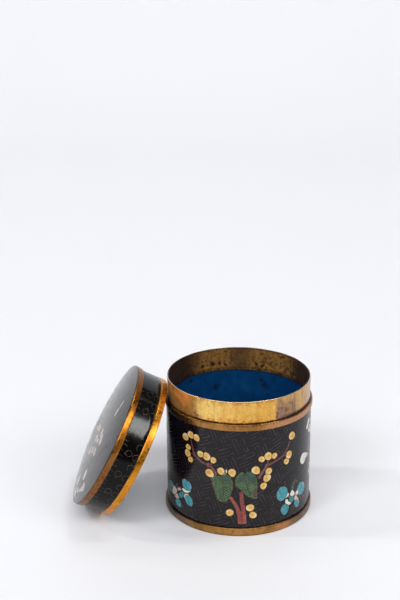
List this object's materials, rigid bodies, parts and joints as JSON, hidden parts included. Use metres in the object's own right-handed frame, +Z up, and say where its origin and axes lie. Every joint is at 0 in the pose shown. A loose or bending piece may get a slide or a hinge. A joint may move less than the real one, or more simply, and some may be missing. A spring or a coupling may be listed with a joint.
{
  "type": "cloisonne enamel box",
  "caption": "Round straight-sided cloisonne enamel box on copper with brass collar, mouth and foot mounts, open, its domed cap lid leaning against the side.",
  "frame": {"origin": "middle of the outline of box and leaning lid, on the surface they stand on", "axes": "+Z up along the box's axis; +X from the leaning lid towards the box; +Y towards the back, away from the main picture"},
  "size_m": [0.134, 0.09, 0.0808],
  "materials": {
    "black_enamel": "glossy black-brown fired enamel on copper, inlaid between fine brass wires with berries, leaves and blossoms, deep blue inside",
    "worn_brass": "satin brass, darkened and brown in places",
    "collar_brass": "plain rolled brass sheet, worn, pitted and stained",
    "gilt_brass": "warm golden polished brass with darker tarnish"
  },
  "bodies": {
    "root": {"box_body": "black_enamel", "mouth_rim": "worn_brass", "collar": "collar_brass", "foot_rim": "worn_brass", "lid_body": "black_enamel", "lid_shoulder_band": "gilt_brass", "lid_lower_rim": "gilt_brass"}
  },
  "joints": []
}
